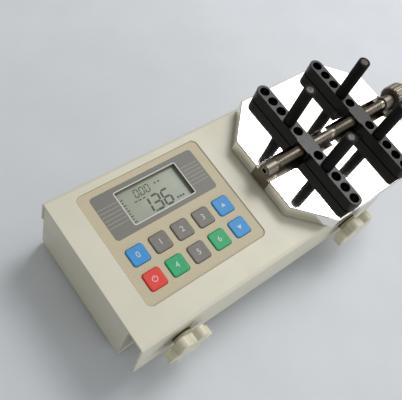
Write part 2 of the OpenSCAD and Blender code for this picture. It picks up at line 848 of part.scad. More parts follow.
module clamp_bar_left() { clamp_bar(x_axis - bar_gauge / 2); }
module clamp_bar_right() { clamp_bar(x_axis + bar_gauge / 2); }

// Bronze nut in the middle of a bar
module bar_nut(x) {
    color("goldenrod")
        difference() {
            along_x(nut_r, x - pad_w / 2, x + pad_w / 2, y_axis, z_screw);
            along_x(screw_r + run_fit, x - pad_w / 2 - over, x + pad_w / 2 + over, y_axis, z_screw);
        }
}

module nut_left() { bar_nut(x_axis - bar_gauge / 2); }
module nut_right() { bar_nut(x_axis + bar_gauge / 2); }

// Peg core with the shank that drops into a bar, and its rubber sleeve
module peg(side, end) {
    color("slategray") {
        upright(peg_hole / 2 - run_fit, [x_axis + side * bar_gauge / 2, y_axis + end * peg_y], z_bar, z_peg);
        upright(core_r, [x_axis + side * bar_gauge / 2, y_axis + end * peg_y], z_peg, z_peg + peg_h);
    }
}

module sleeve(side, end) {
    color("black")
        difference() {
            upright(sleeve_d / 2, [x_axis + side * bar_gauge / 2, y_axis + end * peg_y], z_peg, z_peg + peg_h);
            upright(core_r, [x_axis + side * bar_gauge / 2, y_axis + end * peg_y], z_peg - over, z_peg + peg_h + over);
        }
}

module peg_left_front() { peg(-1, -1); }
module peg_left_rear() { peg(-1, 1); }
module peg_right_front() { peg(1, -1); }
module peg_right_rear() { peg(1, 1); }
module sleeve_left_front() { sleeve(-1, -1); }
module sleeve_left_rear() { sleeve(-1, 1); }
module sleeve_right_front() { sleeve(1, -1); }
module sleeve_right_rear() { sleeve(1, 1); }

// Disc with both edges broken, along -Y from the given distance
module edged_disc(r, from, deep, edge) {
    translate([0, -from, 0])
        rotate([90, 0, 0]) {
            cylinder(h = edge, r1 = r - edge, r2 = r);
            translate([0, 0, edge])
                cylinder(h = deep - 2 * edge, r = r);
            translate([0, 0, deep - edge])
                cylinder(h = edge, r1 = r, r2 = r - edge);
        }
}

// Six-lobed knob on the apron with its collar, bored for the stud that it is moulded on
module star_knob(x) {
    color("beige")
        on_apron(x)
            difference() {
                union() {
                    along_y(collar_r, -(washer_t + collar_h), -washer_t, 0, 0);
                    edged_disc(star_core_r, washer_t + collar_h, star_t, star_edge);
                    for (k = [0:lobes_n - 1])
                        rotate([0, -star_turn - k * 360 / lobes_n, 0])
                            translate([lobe_ring, 0, 0])
                                edged_disc(lobe_r, washer_t + collar_h, star_t, star_edge);
                }
                along_y(stud_r, -(washer_t + stud_embed), 0, 0, 0);
            }
}

module stud(x) {
    color("silver")
        on_apron(x)
            along_y(stud_r, -(washer_t + stud_embed), stud_in, 0, 0);
}

module washer(x) {
    color("brown")
        on_apron(x)
            difference() {
                along_y(washer_r, -washer_t, 0, 0, 0);
                along_y(stud_r + washer_play, -washer_t - over, over, 0, 0);
            }
}

module star_knob_left() { star_knob(star_xs[0]); }
module star_knob_right() { star_knob(star_xs[1]); }
module stud_left() { stud(star_xs[0]); }
module stud_right() { stud(star_xs[1]); }
module washer_left() { washer(star_xs[0]); }
module washer_right() { washer(star_xs[1]); }

// Threaded standoffs on the front wall that the studs screw into
module knob_standoffs() {
    color("silver")
        for (x = star_xs)
            difference() {
                on_apron(x)
                    along_y(standoff_r, cover_sheet + standoff_gap, stud_in, 0, 0);
                on_apron(x)
                    along_y(stud_r + run_fit, cover_sheet - over, stud_in + over, 0, 0);
                block([x - 2 * standoff_r, y_wall, z_case], [x + 2 * standoff_r, y_wall + 2 * stud_in, z_top]);
            }
}

base_shell();
cover();
feet();
cover_screws();
key_panel();
display_window();
lcd_glass();
lcd_module();
key_board();
key_switches();
board_spacers();
key_zero();
key_unit();
key_peak();
key_memory();
key_up();
key_power();
key_clear();
key_print();
key_set();
key_down();
main_board();
main_components();
battery_pack();
data_port();
power_socket();
sensor_housing();
torsion_shaft();
hub_bearing();
sensor_screws();
tray_hub();
hub_screws();
guide_channel();
tray();
tray_screws();
bearing_block_left();
bearing_block_right();
block_screws();
lead_screw();
hand_knob();
clamp_bar_left();
clamp_bar_right();
nut_left();
nut_right();
peg_left_front();
peg_left_rear();
peg_right_front();
peg_right_rear();
sleeve_left_front();
sleeve_left_rear();
sleeve_right_front();
sleeve_right_rear();
star_knob_left();
star_knob_right();
stud_left();
stud_right();
washer_left();
washer_right();
knob_standoffs();
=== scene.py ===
# Digital torque meter for bottle caps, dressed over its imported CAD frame: a powder-coated sheet-metal case
# with keypad and display, a polished octagonal tray with pegged clamp bars, and two moulded star knobs.
# Lengths are in metres, or in millimetres times MM. +X runs from the keypad end to the tray end,
# +Y to the rear, +Z up, and z = 0 is the table.
import json
import math

import bmesh
import bpy
from mathutils import Matrix, Vector

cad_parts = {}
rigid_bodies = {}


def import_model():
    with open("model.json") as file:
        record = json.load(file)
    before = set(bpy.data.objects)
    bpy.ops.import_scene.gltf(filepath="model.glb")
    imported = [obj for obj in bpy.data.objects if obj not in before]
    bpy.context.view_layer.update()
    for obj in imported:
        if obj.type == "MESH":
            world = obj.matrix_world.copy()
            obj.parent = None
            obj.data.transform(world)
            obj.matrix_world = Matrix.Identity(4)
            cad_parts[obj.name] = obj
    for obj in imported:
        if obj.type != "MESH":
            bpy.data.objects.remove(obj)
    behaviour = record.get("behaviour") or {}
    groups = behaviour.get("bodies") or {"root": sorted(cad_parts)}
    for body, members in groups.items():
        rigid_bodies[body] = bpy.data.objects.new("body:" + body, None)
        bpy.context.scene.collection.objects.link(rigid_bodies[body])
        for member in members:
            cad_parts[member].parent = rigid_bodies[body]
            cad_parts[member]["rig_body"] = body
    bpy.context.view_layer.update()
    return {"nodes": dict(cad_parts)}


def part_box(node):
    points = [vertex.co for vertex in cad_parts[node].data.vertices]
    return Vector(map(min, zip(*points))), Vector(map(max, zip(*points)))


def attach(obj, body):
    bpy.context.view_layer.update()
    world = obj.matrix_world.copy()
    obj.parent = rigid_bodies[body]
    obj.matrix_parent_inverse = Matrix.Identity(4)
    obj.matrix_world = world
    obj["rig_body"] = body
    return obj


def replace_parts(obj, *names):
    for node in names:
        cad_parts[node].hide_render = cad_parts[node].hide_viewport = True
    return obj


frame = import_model()

MM = 0.001
X_AXIS, Y_AXIS, Z_AXIS = Vector((1, 0, 0)), Vector((0, 1, 0)), Vector((0, 0, 1))
BODY_OF = {name: node["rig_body"] for name, node in frame["nodes"].items()}


# Materials

def colour(code):
    """Linear RGBA of an sRGB hex colour."""
    parts = [int(code[k:k + 2], 16) / 255 for k in (1, 3, 5)]
    return [p / 12.92 if p <= 0.04045 else ((p + 0.055) / 1.055) ** 2.4 for p in parts] + [1.0]


def shader_node(tree, kind, settings=None, links=None):
    """Adds one shader node with its settings and the sockets that feed it."""
    made = tree.nodes.new(kind)
    for name, value in (settings or {}).items():
        if isinstance(name, int) or name in made.inputs:
            made.inputs[name].default_value = value
        else:
            setattr(made, name, value)
    for name, source in (links or {}).items():
        tree.links.new(source, made.inputs[name])
    return made


def finish(name, **settings):
    """A new material with its surface shader; returns it with its tree, its coordinates and that shader."""
    made = bpy.data.materials.new(name)
    made.use_nodes = True
    tree = made.node_tree
    tree.nodes.clear()
    place = shader_node(tree, "ShaderNodeTexCoord").outputs["Object"]
    sockets = {key.replace("_", " "): value for key, value in settings.items()}
    surface = shader_node(tree, "ShaderNodeBsdfPrincipled", sockets)
    shader_node(tree, "ShaderNodeOutputMaterial", None, {"Surface": surface.outputs["BSDF"]})
    return made, tree, place, surface


def two_tones(tree, surface, factor, first, second):
    """Sets the base colour between two tones by a factor."""
    tones = shader_node(
        tree, "ShaderNodeMix", {"data_type": "RGBA", 6: colour(first), 7: colour(second)}, {0: factor})
    tree.links.new(tones.outputs[2], surface.inputs["Base Color"])


def gloss_from(tree, surface, noise, low, high):
    """Lets the roughness follow a noise between two values."""
    rough = shader_node(
        tree, "ShaderNodeMapRange", {"From Min": 0.3, "From Max": 0.7, "To Min": low, "To Max": high},
        {"Value": noise.outputs["Fac"]})
    tree.links.new(rough.outputs["Result"], surface.inputs["Roughness"])


def mottle(tree, place, surface, first, second, size, detail=3.0):
    """Drifts the base colour between two near tones over patches of the given size."""
    noise = shader_node(tree, "ShaderNodeTexNoise", {"Scale": 1 / size, "Detail": detail}, {"Vector": place})
    spread = shader_node(
        tree, "ShaderNodeMapRange", {"From Min": 0.35, "From Max": 0.65}, {"Value": noise.outputs["Fac"]})
    two_tones(tree, surface, spread.outputs["Result"], first, second)


def grain(tree, place, surface, size, height, strength):
    """Raises the surface into grains of the given size and height."""
    noise = shader_node(tree, "ShaderNodeTexNoise", {"Scale": 1 / size, "Detail": 2.0}, {"Vector": place})
    bump = shader_node(
        tree, "ShaderNodeBump", {"Strength": strength, "Distance": height}, {"Height": noise.outputs["Fac"]})
    tree.links.new(bump.outputs["Normal"], surface.inputs["Normal"])


def uneven_gloss(tree, place, surface, low, high, size):
    """Varies the roughness between two values over patches of the given size."""
    noise = shader_node(tree, "ShaderNodeTexNoise", {"Scale": 1 / size, "Detail": 4.0}, {"Vector": place})
    gloss_from(tree, surface, noise, low, high)


def tool_marks(tree, place, surface, stretch, size, height, low, high):
    """Fine lines left by a tool: grains drawn out along the axes where stretch is small."""
    drawn = shader_node(tree, "ShaderNodeMapping", {"Scale": stretch}, {"Vector": place})
    noise = shader_node(
        tree, "ShaderNodeTexNoise", {"Scale": 1 / size, "Detail": 3.0}, {"Vector": drawn.outputs["Vector"]})
    bump = shader_node(
        tree, "ShaderNodeBump", {"Strength": 0.6, "Distance": height}, {"Height": noise.outputs["Fac"]})
    tree.links.new(bump.outputs["Normal"], surface.inputs["Normal"])
    gloss_from(tree, surface, noise, low, high)


def powder_coat():
    """Polyester powder coat, sprayed on steel sheet and baked: soft gloss broken by a fine orange peel.
    The real peel is about 1 mm; it is drawn at 2 mm so that it shows."""
    made, tree, place, surface = finish("powder_coat_cream", IOR=1.5)
    mottle(tree, place, surface, "#DEDAC7", "#D9D5C1", 45 * MM)
    grain(tree, place, surface, 2 * MM, 0.02 * MM, 0.5)
    uneven_gloss(tree, place, surface, 0.4, 0.5, 20 * MM)
    return made


def tan_film():
    """Polycarbonate film with a velvet texture, printed tan on its back: matt, with a fine even grain
    of about 0.5 mm."""
    made, tree, place, surface = finish("velvet_film_tan", Roughness=0.6, IOR=1.5)
    mottle(tree, place, surface, "#CDC2A5", "#C6BB9D", 0.9 * MM, 1.0)
    grain(tree, place, surface, 0.5 * MM, 0.01 * MM, 0.6)
    return made


def grey_film():
    """Printed acrylic window plate: satin grey with a faint sparkle of pigment."""
    made, tree, place, surface = finish("satin_acrylic_grey", Roughness=0.5, IOR=1.49)
    mottle(tree, place, surface, "#7D7B75", "#76746E", 0.8 * MM, 1.0)
    grain(tree, place, surface, 0.6 * MM, 0.008 * MM, 0.5)
    return made


def printed_ink(name, first, second):
    """Screen-printed ink: a thin matt layer with slightly uneven cover."""
    made, tree, place, surface = finish(name, Roughness=0.55, IOR=1.5)
    mottle(tree, place, surface, first, second, 0.6 * MM, 1.0)
    grain(tree, place, surface, 0.4 * MM, 0.004 * MM, 0.4)
    return made


def display_glass():
    """Liquid-crystal cell: polarising film on glass over a grey-green reflector, a little cloudy."""
    made, tree, place, surface = finish("liquid_crystal_cell", Roughness=0.3, IOR=1.5)
    mottle(tree, place, surface, "#9AA18E", "#929986", 12 * MM, 1.0)
    grain(tree, place, surface, 0.8 * MM, 0.003 * MM, 0.4)
    return made


def key_plastic(name, first, second):
    """Injection-moulded ABS key cap: satin, with a fine spark-eroded texture."""
    made, tree, place, surface = finish(name, Roughness=0.5, IOR=1.5)
    mottle(tree, place, surface, first, second, 3 * MM)
    grain(tree, place, surface, 0.7 * MM, 0.012 * MM, 0.5)
    return made


def knob_plastic():
    """Moulded cream thermoset: smooth satin, faintly clouded, with softened edges."""
    made, tree, place, surface = finish("moulded_thermoset_cream", Roughness=0.4, IOR=1.55)
    mottle(tree, place, surface, "#DDD8C1", "#D3CDB5", 9 * MM)
    grain(tree, place, surface, 1.2 * MM, 0.02 * MM, 0.5)
    return made


def mirror_steel():
    """Stainless sheet polished to a mirror after folding: the gentle waves of the sheet bend what it
    reflects, and hairlines from the last polish scatter a little of the light."""
    made, tree, place, surface = finish("mirror_polished_stainless", Metallic=1.0)
    mottle(tree, place, surface, "#EFECE6", "#E9E6DF", 30 * MM)
    waves = shader_node(
        tree, "ShaderNodeTexNoise", {"Scale": 1 / (38 * MM), "Detail": 0.0}, {"Vector": place})
    soft = shader_node(
        tree, "ShaderNodeBump", {"Strength": 0.5, "Distance": 0.12 * MM}, {"Height": waves.outputs["Fac"]})
    drawn = shader_node(tree, "ShaderNodeMapping", {"Scale": (0.03, 1.0, 1.0)}, {"Vector": place})
    hair = shader_node(
        tree, "ShaderNodeTexNoise", {"Scale": 1 / (0.5 * MM), "Detail": 2.0},
        {"Vector": drawn.outputs["Vector"]})
    fine = shader_node(
        tree, "ShaderNodeBump", {"Strength": 0.25, "Distance": 0.002 * MM},
        {"Height": hair.outputs["Fac"], "Normal": soft.outputs["Normal"]})
    tree.links.new(fine.outputs["Normal"], surface.inputs["Normal"])
    gloss_from(tree, surface, hair, 0.03, 0.07)
    return made


def turned_steel():
    """Free-cutting steel turned between centres: fine rings round the X axis, warm grey."""
    made, tree, place, surface = finish("turned_steel", Metallic=1.0)
    mottle(tree, place, surface, "#948B7F", "#857C71", 14 * MM)
    tool_marks(tree, place, surface, (1.0, 0.05, 0.05), 0.35 * MM, 0.006 * MM, 0.3, 0.44)
    return made


def ground_steel():
    """Mild steel, machined and ground flat: lines along X, satin."""
    made, tree, place, surface = finish("ground_steel", Metallic=1.0)
    mottle(tree, place, surface, "#837B70", "#776F65", 20 * MM)
    tool_marks(tree, place, surface, (0.04, 1.0, 1.0), 0.5 * MM, 0.006 * MM, 0.34, 0.5)
    return made


def zinc_plated():
    """Zinc-plated fastener steel: bright, slightly clouded and bluish."""
    made, tree, place, surface = finish("zinc_plated_steel", Metallic=1.0)
    mottle(tree, place, surface, "#BFC1C2", "#AEB0B2", 2.5 * MM)
    grain(tree, place, surface, 0.5 * MM, 0.01 * MM, 0.4)
    uneven_gloss(tree, place, surface, 0.22, 0.4, 3 * MM)
    return made


def milled_aluminium():
    """Machined aluminium: pale, with the path of a milling cutter drawn as fine lines along Y."""
    made, tree, place, surface = finish("milled_aluminium", Metallic=1.0)
    mottle(tree, place, surface, "#C4C6C8", "#B8BABC", 16 * MM)
    tool_marks(tree, place, surface, (1.0, 0.08, 1.0), 0.6 * MM, 0.008 * MM, 0.28, 0.42)
    return made


def black_anodised():
    """Aluminium bar, milled, glass-bead blasted and anodised black: near-black and satin, so that flat
    faces turned to a lamp show it as a soft grey sheen."""
    made, tree, place, surface = finish("black_anodised_aluminium", IOR=1.5, Specular_IOR_Level=0.38)
    mottle(tree, place, surface, "#080807", "#060505", 6 * MM)
    grain(tree, place, surface, 0.6 * MM, 0.01 * MM, 0.4)
    uneven_gloss(tree, place, surface, 0.26, 0.36, 8 * MM)
    return made


def black_rubber():
    """Moulded nitrile rubber: black, dull, with a faint dusty bloom."""
    made, tree, place, surface = finish(
        "moulded_rubber_black", Roughness=0.7, IOR=1.5, Specular_IOR_Level=0.25)
    mottle(tree, place, surface, "#0A0A09", "#0F0E0D", 4 * MM)
    grain(tree, place, surface, 0.8 * MM, 0.03 * MM, 0.6)
    return made


def blackened_steel():
    """Peg core: steel with a brown-black oxide finish, ground on its end, brown-grey and satin."""
    made, tree, place, surface = finish("oxide_blackened_steel", Metallic=1.0)
    mottle(tree, place, surface, "#4A4542", "#3B3634", 2.5 * MM)
    grain(tree, place, surface, 0.5 * MM, 0.012 * MM, 0.5)
    uneven_gloss(tree, place, surface, 0.34, 0.5, 3 * MM)
    return made


def turned_bronze():
    """Turned phosphor bronze: yellow-brown with turning lines."""
    made, tree, place, surface = finish("turned_bronze", Metallic=1.0)
    mottle(tree, place, surface, "#6B5434", "#5C482D", 5 * MM)
    tool_marks(tree, place, surface, (1.0, 0.06, 0.06), 0.4 * MM, 0.008 * MM, 0.26, 0.4)
    return made


def vulcanised_fibre():
    """Punched vulcanised fibre washer: dull dark brown with paper fibres."""
    made, tree, place, surface = finish("vulcanised_fibre", Roughness=0.7, IOR=1.5)
    mottle(tree, place, surface, "#3B2C25", "#2E231E", 1.5 * MM)
    grain(tree, place, surface, 0.5 * MM, 0.02 * MM, 0.5)
    return made


def black_plastic():
    """Glass-filled nylon of sockets and switches: black, matt, with flow marks."""
    made, tree, place, surface = finish("glass_filled_nylon_black", Roughness=0.5, IOR=1.53)
    mottle(tree, place, surface, "#1B1B1C", "#232324", 3 * MM)
    grain(tree, place, surface, 0.6 * MM, 0.015 * MM, 0.5)
    return made


def solder_mask():
    """Circuit board: green solder mask over a woven glass laminate, glossy, the weave just showing."""
    made, tree, place, surface = finish("solder_mask_green", Roughness=0.25, IOR=1.5)
    weave = shader_node(
        tree, "ShaderNodeTexWave", {"Scale": 1 / (6 * MM), "Distortion": 0.4, "bands_direction": "DIAGONAL"},
        {"Vector": place})
    two_tones(tree, surface, weave.outputs["Fac"], "#1C5A36", "#23683F")
    grain(tree, place, surface, 1.5 * MM, 0.01 * MM, 0.4)
    return made


def shrink_wrap():
    """Cell sleeve: shrunk PVC film, green, glossy, puckered at the ends."""
    made, tree, place, surface = finish("shrunk_pvc_green", Roughness=0.22, IOR=1.53)
    mottle(tree, place, surface, "#2C6A4C", "#275F44", 6 * MM)
    grain(tree, place, surface, 3 * MM, 0.05 * MM, 0.5)
    return made


def tinned_frame():
    """Bent tinplate frame of the display module: bright and slightly rippled."""
    made, tree, place, surface = finish("tinplate", Metallic=1.0)
    mottle(tree, place, surface, "#B9B9B5", "#ABABA7", 7 * MM)
    grain(tree, place, surface, 3 * MM, 0.03 * MM, 0.4)
    uneven_gloss(tree, place, surface, 0.2, 0.35, 6 * MM)
    return made


def gilt_contact():
    """Gold-plated contact pins: warm yellow and bright."""
    made, tree, place, surface = finish("gold_plated_brass", Metallic=1.0)
    mottle(tree, place, surface, "#D8B25C", "#CBA44F", 1.5 * MM)
    uneven_gloss(tree, place, surface, 0.15, 0.28, 1.5 * MM)
    return made


def seamless_board():
    """Table surface: matt seamless board, pale grey, with a very fine tooth."""
    made, tree, place, surface = finish("seamless_board_pale", Roughness=0.7, IOR=1.45)
    mottle(tree, place, surface, "#DCE0E5", "#D8DCE1", 60 * MM)
    grain(tree, place, surface, 1.2 * MM, 0.01 * MM, 0.3)
    return made


COAT = powder_coat()
TAN = tan_film()
GREY_FILM = grey_film()
WHITE_INK = printed_ink("printed_ink_white", "#DFDFD8", "#DFDFCE")
STRIPE_INK = printed_ink("printed_ink_light_grey", "#A8A69C", "#A8A692")
MARK_INK = printed_ink("printed_ink_key_marks", "#D2D4D6", "#D2D4CC")
GLASS = display_glass()
SEGMENT = printed_ink("liquid_crystal_dark", "#4A5048", "#4A503E")
BLUE = key_plastic("moulded_abs_blue", "#3096DA", "#2A8ED2")
GREY = key_plastic("moulded_abs_grey", "#7C7770", "#75706A")
GREEN = key_plastic("moulded_abs_green", "#0AAE6C", "#08A564")
RED = key_plastic("moulded_abs_red", "#EC3322", "#E42D1E")
KNOB = knob_plastic()
MIRROR = mirror_steel()
TURNED = turned_steel()
GROUND = ground_steel()
ZINC = zinc_plated()
ALLOY = milled_aluminium()
ANODISED = black_anodised()
RUBBER = black_rubber()
OXIDE = blackened_steel()
BRONZE = turned_bronze()
FIBRE = vulcanised_fibre()
NYLON = black_plastic()
BOARD = solder_mask()
WRAP = shrink_wrap()
TIN = tinned_frame()
GILT = gilt_contact()


# Making and placing pieces

BROAD = 400 * MM * MM
SMOOTH_UNDER = math.radians(32)
FLAT_WITHIN = math.radians(0.5)
WELD = 0.001 * MM
NEAR = 0.01 * MM


def piece_from(bm, name, node, *materials):
    """Turns a bmesh into a piece that rides with a CAD node's body. Its curves are shaded smooth, and its
    broad flat faces stay flat up to their edges."""
    for edge in bm.edges:
        broad = any(face.calc_area() > BROAD for face in edge.link_faces)
        edge.smooth = not broad and edge.calc_face_angle(math.pi) < SMOOTH_UNDER
    for face in bm.faces:
        face.smooth = True
    mesh = bpy.data.meshes.new(name)
    bm.to_mesh(mesh)
    bm.free()
    if "custom_normal" in mesh.attributes:
        mesh.attributes.remove(mesh.attributes["custom_normal"])
    for material in materials:
        mesh.materials.append(material)
    made = bpy.data.objects.new(name, mesh)
    bpy.context.scene.collection.objects.link(made)
    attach(made, BODY_OF[node])
    return made


def merged(node):
    """A bmesh of a CAD node with its loose triangles merged into whole faces."""
    bm = bmesh.new()
    bm.from_mesh(frame["nodes"][node].data)
    bmesh.ops.remove_doubles(bm, verts=bm.verts[:], dist=WELD)
    bmesh.ops.dissolve_limit(bm, angle_limit=FLAT_WITHIN, verts=bm.verts[:], edges=bm.edges[:])
    return bm


def break_edges(piece, width, steps, angle):
    """Rounds every edge of a piece that is sharper than an angle in degrees."""
    bevel = piece.modifiers.new("broken_edges", "BEVEL")
    bevel.width = width
    bevel.segments = steps
    bevel.limit_method = "ANGLE"
    bevel.angle_limit = math.radians(angle)
    bevel.use_clamp_overlap = False
    bevel.harden_normals = True


def edged(node, material, width, steps=2, angle=40):
    """A CAD node's own shape with its edges broken; it stands for that node."""
    made = piece_from(merged(node), node + "_edged", node, material)
    break_edges(made, width, steps, angle)
    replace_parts(made, node)


def as_built(material, *nodes):
    """Gives CAD nodes whose shape is right their material."""
    for node in nodes:
        for slot in frame["nodes"][node].material_slots:
            slot.material = material


def add_box(bm, low, high):
    """A box between two corners; returns its vertices."""
    size = Vector(high) - Vector(low)
    middle = (Vector(high) + Vector(low)) / 2
    matrix = Matrix.Translation(middle) @ Matrix.Diagonal((*size, 1.0))
    return bmesh.ops.create_cube(bm, size=1.0, matrix=matrix)["verts"]


def edges_of(verts):
    """The edges that meet at some vertices."""
    return list(dict.fromkeys(edge for vert in verts for edge in vert.link_edges))


def rise(edge):
    """How far an edge climbs."""
    return abs(edge.verts[0].co.z - edge.verts[1].co.z)


def round_over(bm, edges, radius, steps):
    """Rounds the given edges."""
    bmesh.ops.bevel(
        bm, geom=edges, offset=radius, offset_type="OFFSET", segments=steps, profile=0.5, affect="EDGES",
        material=-1, clamp_overlap=False)


def verts_in(result):
    """The vertices that an extrusion made."""
    return [item for item in result["geom"] if isinstance(item, bmesh.types.BMVert)]


def raise_faces(bm, faces, height):
    """Extrudes faces straight up, or down where the height is negative."""
    moved = verts_in(bmesh.ops.extrude_face_region(bm, geom=faces))
    bmesh.ops.translate(bm, vec=(0, 0, height), verts=moved)


def face_outward(bm):
    """Turns every face's normal outward."""
    bmesh.ops.recalc_face_normals(bm, faces=bm.faces[:])


def revolve(bm, profile, axis, centre, steps=48):
    """A solid of revolution from (distance along the axis, radius) points."""
    across = Z_AXIS if abs(axis.z) < 0.9 else X_AXIS
    verts = [bm.verts.new(centre + axis * along + across * radius) for along, radius in profile]
    edges = [bm.edges.new(pair) for pair in zip(verts, verts[1:])]
    before = set(bm.faces)
    bmesh.ops.spin(
        bm, geom=verts + edges, cent=centre, axis=axis, angle=math.tau, steps=steps, use_merge=True)
    bmesh.ops.remove_doubles(bm, verts=bm.verts[:], dist=WELD / 2)
    bmesh.ops.recalc_face_normals(bm, faces=[face for face in bm.faces if face not in before])


def placed(right, up, out, at):
    """The matrix that turns X, Y and Z to right, up and out, and moves the origin to a point."""
    return Matrix((
        (right.x, up.x, out.x, at.x), (right.y, up.y, out.y, at.y),
        (right.z, up.z, out.z, at.z), (0, 0, 0, 1)))


# Case

def case_body():
    """Case pieces with their edges broken, and the inner pieces that keep the CAD shape."""
    edged("cover", COAT, 0.6 * MM, 3)
    edged("base_shell", COAT, 0.4 * MM)
    edged("feet", RUBBER, 0.7 * MM, 3)
    edged("key_panel", TAN, 0.12 * MM)
    edged("display_window", GREY_FILM, 0.12 * MM)
    edged("data_port", TIN, 0.3 * MM)
    edged("power_socket", NYLON, 0.3 * MM)
    as_built(ZINC, "knob_standoffs", "sensor_screws", "board_spacers")
    as_built(TIN, "lcd_module")
    as_built(BOARD, "key_board", "main_board")
    as_built(NYLON, "key_switches", "main_components")
    as_built(WRAP, "battery_pack")
    as_built(ALLOY, "sensor_housing")
    as_built(GROUND, "torsion_shaft", "hub_bearing")


def cover_screws():
    """Pan-head screws of the rear lip. Each cross recess is not cut: a black solid cross set flush into the
    head is painted shade standing for the hollow.
    """
    count, inset = 4, 25 * MM
    head_r, shank_r, rim_h, dome_drop = 3 * MM, 1.5 * MM, 0.1 * MM, 0.55
    slot_half, slot_wide, slot_deep = 1.6 * MM, 0.6 * MM, 0.5 * MM
    low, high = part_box("cover_screws")
    cover_low, cover_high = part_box("cover")
    head_h, shank_end = high.y - cover_high.y, low.y - cover_high.y
    step = (cover_high.x - cover_low.x - 2 * inset) / (count - 1)
    shares = (0.0, 0.3, 0.6, 0.85, 0.97)
    dome = [(head_h * (1 - dome_drop * share * share), head_r * share) for share in shares]
    rim = [(rim_h, head_r), (0.0, head_r)]
    shank = [(0.0, shank_r), (shank_end, shank_r), (shank_end, 0.0)]
    screws, recess_shade = bmesh.new(), bmesh.new()
    for k in range(count):
        seat = Vector((cover_low.x + inset + k * step, cover_high.y, (low.z + high.z) / 2))
        revolve(screws, dome + rim + shank, Y_AXIS, seat, 32)
        # Painted shade: each arm of the cross recess is a black box in the head, where a real recess would
        # show only its own shadow.
        for turn in (45, 135):
            verts = add_box(
                recess_shade, (-slot_half, -slot_deep, -slot_wide / 2), (slot_half, 0.0, slot_wide / 2))
            place = Matrix.Translation(seat + Y_AXIS * head_h) @ Matrix.Rotation(math.radians(turn), 4, "Y")
            bmesh.ops.transform(recess_shade, matrix=place, verts=verts)
    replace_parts(piece_from(screws, "cover_screws_pan", "cover_screws", ZINC), "cover_screws")
    # The black nylon of this piece is painted shade for the cross recesses, not a part of the screws.
    piece_from(recess_shade, "cover_screw_recess_shade", "cover_screws", NYLON)


def port_pins():
    """Insulator and nine contact pins in the data port's shell."""
    port_deep, half_wide, half_high, corner_r = 2 * MM, 7.4 * MM, 3.1 * MM, 0.3 * MM
    block_back, block_front, pin_back = 0.9 * MM, 2.2 * MM, 2.0 * MM
    pin_step, row_off = 2.75 * MM, 1.4 * MM
    pin_r, tip_r, pin_h, tip_h = 0.5 * MM, 0.25 * MM, 3.2 * MM, 3.6 * MM
    low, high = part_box("data_port")
    middle = (low + high) / 2
    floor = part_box("cover")[1].y - port_deep
    bm = bmesh.new()
    verts = add_box(bm, (middle.x - half_wide, floor + block_back, middle.z - half_high),
                    (middle.x + half_wide, floor + block_front, middle.z + half_high))
    round_over(bm, edges_of(verts), corner_r, 2)
    piece_from(bm, "port_insulator", "power_socket", NYLON)
    bm = bmesh.new()
    profile = [(0.0, 0.0), (0.0, pin_r), (pin_h, pin_r), (tip_h, tip_r), (tip_h, 0.0)]
    for row, count in ((-1, 4), (1, 5)):
        for k in range(count):
            x = middle.x + (k - (count - 1) / 2) * pin_step
            revolve(bm, profile, Y_AXIS, Vector((x, floor + pin_back, middle.z + row * row_off)), 12)
    piece_from(bm, "port_contacts", "data_port", GILT)


# Keypad and display

SKIN = 0.03 * MM


def arrow_mark(bm, at, turn):
    """A triangle on a key."""
    radius = 2.2 * MM
    place = Matrix.Translation(at + Z_AXIS * SKIN / 2) @ Matrix.Rotation(turn, 4, "Z")
    bmesh.ops.create_cone(
        bm, cap_ends=True, segments=3, radius1=radius, radius2=radius, depth=SKIN, matrix=place)


def standby_mark(bm, at):
    """A ring that is open at its top, where a short bar stands in it."""
    outer_r, inner_r, open_above = 2.3 * MM, 1.75 * MM, 1.85 * MM
    bar_half, bar_low, bar_high = 0.28 * MM, 0.5 * MM, 2.7 * MM
    place = Matrix.Translation(at)
    rings = []
    for radius in (outer_r, inner_r):
        rings += bmesh.ops.create_circle(bm, segments=32, radius=radius, matrix=place)["verts"]
    faces = bmesh.ops.bridge_loops(bm, edges=edges_of(rings))["faces"]
    gap = [face for face in faces if face.calc_center_median().y > at.y + open_above]
    bmesh.ops.delete(bm, geom=gap, context="FACES")
    raise_faces(bm, [face for face in faces if face.is_valid], SKIN)
    add_box(bm, (at.x - bar_half, at.y + bar_low, at.z), (at.x + bar_half, at.y + bar_high, at.z + SKIN))


def number_mark(bm, at, figure):
    """A plain number."""
    text = bpy.data.curves.new("key_number", "FONT")
    text.body = figure
    text.size = 6.6 * MM
    text.align_x = "CENTER"
    text.align_y = "CENTER"
    text.extrude = SKIN / 2
    holder = bpy.data.objects.new("key_number", text)
    bpy.context.scene.collection.objects.link(holder)
    bpy.context.view_layer.update()
    mesh = bpy.data.meshes.new_from_object(holder.evaluated_get(bpy.context.evaluated_depsgraph_get()))
    mesh.transform(Matrix.Translation(at + Z_AXIS * SKIN / 2))
    bm.from_mesh(mesh)
    bpy.data.objects.remove(holder)
    bpy.data.curves.remove(text)
    bpy.data.meshes.remove(mesh)


